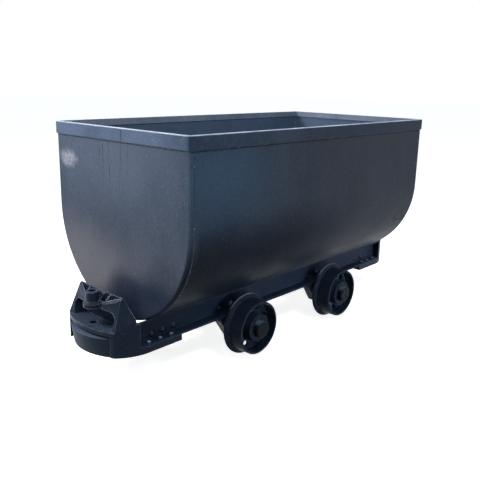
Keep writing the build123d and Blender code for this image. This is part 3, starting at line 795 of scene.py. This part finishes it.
@dataclass
class Tub:
    """The U-shaped tub with its welded seams.

    Attributes:
        half_width: Half the width over the plates.
        axis_height: Height of the middle of the round bottom.
        seam: Distance of a seam from the middle of the car.
        band_bottom: Lower edge of the rim's band.
        bead: Half the width of a weld's bead.
        bead_height: How far the bead stands proud.
        ripple: Distance between a bead's ripples.
        sill_inner: Inner edge of the sill under the tub.
        sill_outer: Outer edge of the sill under the tub.
    """

    half_width: float = 0.519
    axis_height: float = 0.817
    seam: float = 0.992
    band_bottom: float = 1.183
    bead: float = 0.0035
    bead_height: float = 0.0018
    ripple: float = 0.011
    sill_inner: float = 0.190
    sill_outer: float = 0.247

    def outline(self, side: Side) -> list[tuple[Vector, Vector]]:
        """List points down one side of the seam, with the direction outwards.

        Args:
            side: Side of the car.

        Returns:
            Pairs of a point across the car and its outward direction.
        """
        found = []
        straight = self.band_bottom - self.axis_height
        steps = round(straight / self.ripple * 2)
        for i in range(steps + 1):
            height = self.band_bottom - straight * i / steps
            found.append((Vector((0, side.value * self.half_width, height)), Vector((0, side.value, 0))))
        reach = math.acos(self.sill_outer / self.half_width)
        steps = round(reach * self.half_width / self.ripple * 2)
        for i in range(1, steps + 1):
            angle = reach * i / steps
            out = Vector((0, side.value * math.cos(angle), -math.sin(angle)))
            found.append((Vector((0, 0, self.axis_height)) + out * self.half_width, out))
        return found

    def make_seams(self, finishes: Finishes) -> list[bpy.types.Object]:
        """Build the beads between the wrapper and the end plates.

        Args:
            finishes: The car's finishes.

        Returns:
            One bead for each end and side.
        """
        made = []
        for end in End:
            for side in Side:
                maker = MeshMaker(f"tub_seam_{end.name.lower()}_{side.name.lower()}")
                rings = []
                for i, (point, out) in enumerate(self.outline(side)):
                    swell = 1.0 + 0.18 * (1 if i % 2 else -1) + 0.25 * noise.noise(point * 30 + Vector((end.value, 0, 0)))
                    wander = 0.0008 * noise.noise(point * 14)
                    ring = []
                    for k in range(6):
                        angle = math.pi * k / 5
                        across = self.bead * swell * math.cos(angle) + wander
                        proud = self.bead_height * swell * math.sin(angle) - 0.0004
                        ring.append(Vector((end.value * self.seam + across, 0, 0)) + point + out * proud)
                    rings.append(ring)
                maker.rings(rings)
                made.append(maker.piece(finishes.seam, slot="tub_enamel"))
        return made

    def dress(self, finishes: Finishes) -> None:
        """Paint the plates of the tub."""
        dress(("tub_wrapper", "end_plate_front", "end_plate_rear"), finishes.tub)


@dataclass
class Rim:
    """The bands and liners round the top of the tub, and the weld under the bands.

    Attributes:
        length: Half the length of the tub.
        half_width: Half its width.
        bottom: Lower edge of the bands.
        leg: Size of the weld under the bands.
        corner: Radius of the tub's corners.
        face: Distance of a band's end face from the middle of the car.
        top: Where that face starts to round over.
        joint: Distance of the joint of the bands from the middle of an end.
    """

    length: float = 1.019
    half_width: float = 0.519
    bottom: float = 1.183
    leg: float = 0.0056
    corner: float = 0.014
    face: float = 1.027
    top: float = 1.238
    joint: float = 0.053

    def make_weld(self, finishes: Finishes) -> bpy.types.Object:
        """Build the weld that joins the bands to the plates.

        Args:
            finishes: The car's finishes.

        Returns:
            The weld, one loop round the tub.
        """
        maker = MeshMaker("rim_weld")
        path: list[tuple[Vector, Vector]] = []
        corners = ((1, 1, 0.0), (-1, 1, 0.5), (-1, -1, 1.0), (1, -1, 1.5))
        for (sx, sy, start), (tx, ty, _) in zip(corners, corners[1:] + corners[:1]):
            centre = Vector((sx * (self.length - self.corner), sy * (self.half_width - self.corner), 0))
            for k in range(5):
                angle = math.pi * (start + 0.5 * k / 4)
                out = Vector((math.cos(angle), math.sin(angle), 0))
                path.append((centre + out * self.corner, out))
            other = Vector((tx * (self.length - self.corner), ty * (self.half_width - self.corner), 0))
            first = path[-1][0]
            last = other + path[-1][1] * self.corner
            count = round((last - first).length / 0.009)
            path += [(first.lerp(last, i / count), path[-1][1]) for i in range(1, count)]
        rings = []
        for i, (point, out) in enumerate(path + path[:1]):
            leg = self.leg * (1.0 + 0.35 * noise.noise(point * 22) + 0.1 * (i % 2))
            base = point + Vector((0, 0, self.bottom))
            rings.append([
                base - out * 0.0005 + Vector((0, 0, 0.0005)),
                base + out * leg + Vector((0, 0, 0.0005)),
                base + out * leg * 0.55 - Vector((0, 0, leg * 0.55)),
                base - out * 0.0005 - Vector((0, 0, leg)),
            ])
        maker.rings(rings, capped=False)
        return maker.piece(finishes.weld, slot="rim_enamel")

    def make_joints(self, finishes: Finishes) -> list[bpy.types.Object]:
        """Build the upright welds where the two bands meet.

        Args:
            finishes: The car's finishes.

        Returns:
            One weld for each end.
        """
        made = []
        for end in End:
            maker = MeshMaker(f"band_joint_{end.name.lower()}")
            rings = []
            for i in range(25):
                height = self.bottom + (self.top - self.bottom) * i / 24
                swell = 1.0 + 0.2 * (1 if i % 2 else -1) + 0.3 * noise.noise(Vector((end.value, 7, height * 40)))
                ring = []
                for k in range(6):
                    angle = math.pi * k / 5
                    proud = self.face - 0.0004 + 0.0014 * swell * math.sin(angle)
                    across = end.value * self.joint + 0.0026 * swell * math.cos(angle)
                    ring.append(Vector((end.value * proud, across, height)))
                rings.append(ring)
            maker.rings(rings)
            made.append(maker.piece(finishes.seam, slot="rim_enamel"))
        return made

    def dress(self, finishes: Finishes) -> None:
        """Paint the bands and liners."""
        dress(("rim_band_left", "rim_band_right"), finishes.rim)
        dress(("rim_liner_left", "rim_liner_right"), finishes.liner)


@dataclass
class Rivets:
    """Snap-head rivets of the frame.

    Attributes:
        radius: Radius of a head.
        height: Height of a head.
        steps: Points round a head.
        web: Distance of a sill's outer face from the middle of the car.
        flange_line: Distance of the rivets in the lower flange from the middle of the car.
        flange_top: Height of the lower flange there.
        arm_bottom: Lower face of a bumper's arm.
        web_places: Places along the track of the rivets in the web at a bumper's arm, with their heights.
        flange_places: Places along the track of the rivets in the lower flange.
        axle: Distance of an axle from the middle of the car.
        seat_places: Offsets from the axle of the rivets over an axle seat, with their heights.
    """

    radius: float = 0.0145
    height: float = 0.0100
    steps: int = 14
    web: float = 0.200
    flange_line: float = 0.230
    flange_top: float = 0.2345
    arm_bottom: float = 0.193
    web_places: tuple[tuple[float, float], ...] = ((0.840, 0.262), (0.910, 0.259), (0.980, 0.256))
    flange_places: tuple[float, ...] = (0.880, 0.950, 1.020)
    axle: float = 0.395
    seat_places: tuple[tuple[float, float], ...] = ((-0.025, 0.265), (0.025, 0.265), (-0.120, 0.262), (0.120, 0.262))

    def head(self) -> list[tuple[float, float]]:
        """Give the profile of a head, from its foot to its crown."""
        sphere = (self.radius**2 + self.height**2) / (2 * self.height)
        top = math.asin(self.radius / sphere)
        profile = [(self.radius, -0.001)]
        for i in range(5):
            angle = top * (1 - i / 5)
            profile.append((sphere * math.sin(angle), sphere * math.cos(angle) - sphere + self.height))
        profile.append((0.0004, self.height))
        return profile

    def make(self, finishes: Finishes) -> list[bpy.types.Object]:
        """Build the rivets, one piece for each side of the car and each job.

        Args:
            finishes: The car's finishes.

        Returns:
            The pieces.
        """
        made = []
        head = self.head()
        for side in Side:
            out = (0, side.value, 0)
            arms = MeshMaker(f"arm_rivets_{side.name.lower()}")
            seats = MeshMaker(f"seat_rivets_{side.name.lower()}")
            for end in End:
                for along, height in self.web_places:
                    arms.turned(head, (end.value * along, side.value * self.web, height), out, self.steps)
                for along in self.flange_places:
                    line = side.value * self.flange_line
                    arms.turned(head, (end.value * along, line, self.flange_top), (0, 0, 1), self.steps)
                    arms.turned(head, (end.value * along, line, self.arm_bottom), (0, 0.0001, -1), self.steps)
                for along, height in self.seat_places:
                    place = (end.value * self.axle + along, side.value * self.web, height)
                    seats.turned(head, place, out, self.steps)
            made.append(arms.piece(finishes.rivet, slot="frame_enamel"))
            made.append(seats.piece(finishes.rivet, slot="frame_enamel"))
        return made


@dataclass
class CapBolts:
    """Hexagon bolts that hold the caps under the axle seats.

    Attributes:
        across: Distance across the flats of a head.
        height: Height of a head.
        washer: Radius of the washer.
        washer_height: Thickness of the washer.
        foot: Height of a cap's lower face.
        line: Distance of the bolts from the middle of the track.
        axle: Distance of an axle from the middle of the car.
        offset: Distance of a bolt from the axle along the track.
    """

    across: float = 0.024
    height: float = 0.010
    washer: float = 0.0165
    washer_height: float = 0.003
    foot: float = 0.098
    line: float = 0.221
    axle: float = 0.395
    offset: float = 0.052

    def make(self, finishes: Finishes) -> list[bpy.types.Object]:
        """Build the bolts, one piece for each cap.

        Args:
            finishes: The car's finishes.

        Returns:
            The pieces.
        """
        corner = self.across / math.sqrt(3)
        low = self.washer_height + self.height
        chamfer = 0.0012
        head = [(corner, self.washer_height - 0.0002), (corner, low - chamfer), (corner - 1.2 * chamfer, low), (0.0004, low)]
        washer = [(self.washer, -0.001), (self.washer, self.washer_height - 0.0005),
                  (self.washer - 0.0005, self.washer_height), (0.0004, self.washer_height)]
        made = []
        for end in End:
            for side in Side:
                maker = MeshMaker(f"cap_bolts_{end.name.lower()}_{side.name.lower()}")
                for way in (-1, 1):
                    base = (end.value * self.axle + way * self.offset, side.value * self.line, self.foot)
                    maker.turned(washer, base, (0, 0.0001, -1), 24)
                    maker.turned(head, base, (0, 0.0001, -1), 6)
                bolts = maker.piece(finishes.casting, slot="casting_enamel")
                bolts.data.shade_flat()
                made.append(bolts)
        return made


@dataclass
class Underframe:
    """Sills, saddles, axle seats and bumper castings."""

    rivets: Rivets = field(default_factory=Rivets)
    bolts: CapBolts = field(default_factory=CapBolts)

    def dress(self, finishes: Finishes) -> None:
        """Paint the frame and its castings."""
        names = sorted(frame["nodes"])
        dress((n for n in names if n.startswith(("sill_", "saddle_"))), finishes.frame)
        dress((n for n in names if n.startswith(("bumper_", "axle_seat_", "seat_cap_"))), finishes.casting)
        dress((n for n in names if n.startswith("buffer_")), finishes.rubber)


@dataclass
class Wheelsets:
    """Wheels, their caps and the axles."""

    def dress(self, finishes: Finishes) -> None:
        """Paint the wheels and axles."""
        names = sorted(frame["nodes"])
        dress((n for n in names if n.startswith("wheel_")), finishes.wheel)
        dress((n for n in names if n.startswith("hub_cap_")), finishes.cap)
        dress(("axle_front", "axle_rear"), finishes.axle)


# Studio


@dataclass
class Lamp:
    """A soft box.

    Attributes:
        name: Name of the lamp.
        place: Where it hangs.
        aim: What it points at.
        size: Width and height.
        power: Power.
        tint: Colour of its light.
        spread: Angle that its light fills, in degrees.
    """

    name: str
    place: Point
    aim: Point
    size: tuple[float, float]
    power: float
    tint: Colour = (1.0, 1.0, 1.0)
    spread: float = 180.0

    def hang(self) -> None:
        """Add the lamp to the studio."""
        data = bpy.data.lights.new(self.name, "AREA")
        data.shape = "RECTANGLE"
        data.size, data.size_y = self.size
        data.energy = self.power
        data.color = self.tint
        lamp = bpy.data.objects.new(self.name, data)
        lamp.location = self.place
        lamp.rotation_euler = (Vector(self.aim) - Vector(self.place)).to_track_quat("-Z", "Y").to_euler()
        data.spread = math.radians(self.spread)
        lamp.visible_camera = False
        bpy.context.scene.collection.objects.link(lamp)


@dataclass
class Studio:
    """Floor, daylight, lamps and the camera of the photograph.

    Attributes:
        daylight: Strength of the light from all round.
        floor_half: Half the size of the floor.
    """

    daylight: float = 0.22
    daylight_tint: Colour = (0.76, 0.88, 1.0)
    floor_half: float = 40.0
    camera_place: Point = (-2.69035, -2.35163, 1.47343)
    camera_turn: tuple[float, float, float] = (-0.82031, 0.236, 0.02033)
    focal: float = 599.4
    centre: tuple[float, float] = (237.14295, 223.59063)
    frame_size: float = 480.0

    def seen(self, tree: bpy.types.NodeTree) -> Socket:
        """Give 1 where a ray comes from the camera, or from gloss or glass.

        Args:
            tree: Node tree to work in.

        Returns:
            The factor.
        """
        path = tree.nodes.new("ShaderNodeLightPath")
        found = path.outputs["Is Camera Ray"]
        for name in ("Is Glossy Ray", "Is Transmission Ray"):
            most = tree.nodes.new("ShaderNodeMath")
            most.operation = "MAXIMUM"
            tree.links.new(found, most.inputs[0])
            tree.links.new(path.outputs[name], most.inputs[1])
            found = most.outputs[0]
        return found

    def sky(self) -> None:
        """Light the car from all round and show plain white behind it."""
        world = bpy.data.worlds.new("studio")
        bpy.context.scene.world = world
        world.use_nodes = True
        tree = world.node_tree
        light = tree.nodes["Background"]
        light.inputs["Color"].default_value = (*self.daylight_tint, 1)
        light.inputs["Strength"].default_value = self.daylight
        backdrop = tree.nodes.new("ShaderNodeBackground")
        backdrop.inputs["Color"].default_value = (1, 1, 1, 1)
        choice = tree.nodes.new("ShaderNodeMixShader")
        tree.links.new(self.seen(tree), choice.inputs[0])
        tree.links.new(light.outputs[0], choice.inputs[1])
        tree.links.new(backdrop.outputs[0], choice.inputs[2])
        tree.links.new(choice.outputs[0], tree.nodes["World Output"].inputs["Surface"])

    def floor(self) -> bpy.types.Object:
        """Lay a plain pale floor that keeps the car's shadow.

        Returns:
            The floor.
        """
        grid = bmesh.new()
        bmesh.ops.create_grid(grid, x_segments=8, y_segments=8, size=self.floor_half)
        data = bpy.data.meshes.new("floor")
        grid.to_mesh(data)
        grid.free()
        ground = bpy.data.objects.new("floor", data)
        bpy.context.scene.collection.objects.link(ground)
        material = bpy.data.materials.new("floor_paper")
        material.use_nodes = True
        tree = material.node_tree
        base = tree.nodes["Principled BSDF"]
        base.inputs["Base Color"].default_value = (0.8, 0.8, 0.8, 1)
        base.inputs["Roughness"].default_value = 0.9
        base.inputs["Specular IOR Level"].default_value = 0.0
        shade = tree.nodes.new("ShaderNodeBsdfDiffuse")
        shade.inputs["Color"].default_value = (0.07, 0.07, 0.07, 1)
        glow = tree.nodes.new("ShaderNodeEmission")
        glow.inputs["Strength"].default_value = 0.84
        both = tree.nodes.new("ShaderNodeAddShader")
        tree.links.new(base.outputs[0], both.inputs[0])
        tree.links.new(glow.outputs[0], both.inputs[1])
        choice = tree.nodes.new("ShaderNodeMixShader")
        tree.links.new(self.seen(tree), choice.inputs[0])
        tree.links.new(shade.outputs[0], choice.inputs[1])
        tree.links.new(both.outputs[0], choice.inputs[2])
        tree.links.new(choice.outputs[0], tree.nodes["Material Output"].inputs["Surface"])
        data.materials.append(material)
        return ground

    def camera(self) -> bpy.types.Object:
        """Set up the camera where the photograph was taken from.

        Returns:
            The camera.
        """
        turn, tilt, roll = self.camera_turn
        back = Vector((math.sin(turn) * math.cos(tilt), -math.cos(turn) * math.cos(tilt), math.sin(tilt)))
        right = Vector((math.cos(turn), math.sin(turn), 0))
        up = back.cross(right)
        leaned_right = math.cos(roll) * right + math.sin(roll) * up
        leaned_up = -math.sin(roll) * right + math.cos(roll) * up
        data = bpy.data.cameras.new("photo_camera")
        data.sensor_width = 36.0
        data.lens = self.focal / self.frame_size * data.sensor_width
        data.shift_x = (self.frame_size / 2 - self.centre[0]) / self.frame_size
        data.shift_y = (self.centre[1] - self.frame_size / 2) / self.frame_size
        data.clip_end = 200.0
        camera = bpy.data.objects.new("photo_camera", data)
        place = Matrix((leaned_right, leaned_up, back)).transposed().to_4x4()
        place.translation = self.camera_place
        camera.matrix_world = place
        bpy.context.scene.collection.objects.link(camera)
        bpy.context.scene.camera = camera
        return camera

    def lamps(self) -> list[Lamp]:
        """List the lamps of the studio."""
        return [
            Lamp("key", (-2.9, 2.3, 3.2), (-1.0, 0.1, 0.75), (1.6, 1.2), 210.0, (1.0, 0.98, 0.97)),
            Lamp("front", (-5.4, -1.4, 2.6), (-1.0, 0.0, 0.6), (1.8, 1.4), 66.0, (0.88, 0.94, 1.0)),
            Lamp("side", (-1.0, -3.6, 5.2), (0.0, -0.5, 0.8), (2.4, 1.2), 140.0, (0.84, 0.93, 1.0)),
            Lamp("right", (4.0, -4.2, 1.9), (0.4, -0.5, 0.5), (1.2, 1.2), 36.0, (0.94, 0.97, 1.0)),
            Lamp("top", (0.2, 0.8, 5.0), (0.0, 0.0, 0.6), (2.4, 2.0), 110.0, (0.84, 0.92, 1.0)),
            Lamp("low_left", (0.5, -5.6, 0.20), (0.5, 0.0, 0.14), (2.4, 0.3), 2.6, (0.84, 0.93, 1.0), 12.0),
            Lamp("low_right", (0.5, 5.6, 0.20), (0.5, 0.0, 0.14), (2.4, 0.3), 2.6, (0.84, 0.93, 1.0), 12.0),
        ]

    def build(self) -> None:
        """Build the whole studio."""
        bpy.context.scene.view_settings.view_transform = "Standard"
        self.sky()
        self.floor()
        self.camera()
        for lamp in self.lamps():
            lamp.hang()


def main() -> None:
    """Build the studio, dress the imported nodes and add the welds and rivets."""
    logging.basicConfig(level=logging.INFO, format="%(name)s: %(message)s")
    Studio().build()
    finishes = Finishes.mixed()
    tub, rim, underframe, wheelsets = Tub(), Rim(), Underframe(), Wheelsets()
    for assembly in (tub, rim, underframe, wheelsets):
        assembly.dress(finishes)
    pieces = tub.make_seams(finishes)
    pieces.append(rim.make_weld(finishes))
    pieces += rim.make_joints(finishes)
    pieces += underframe.rivets.make(finishes)
    pieces += underframe.bolts.make(finishes)
    for piece in pieces:
        log.info("made %s with %d faces", piece.name, len(piece.data.polygons))


if __name__ == "__main__":
    main()
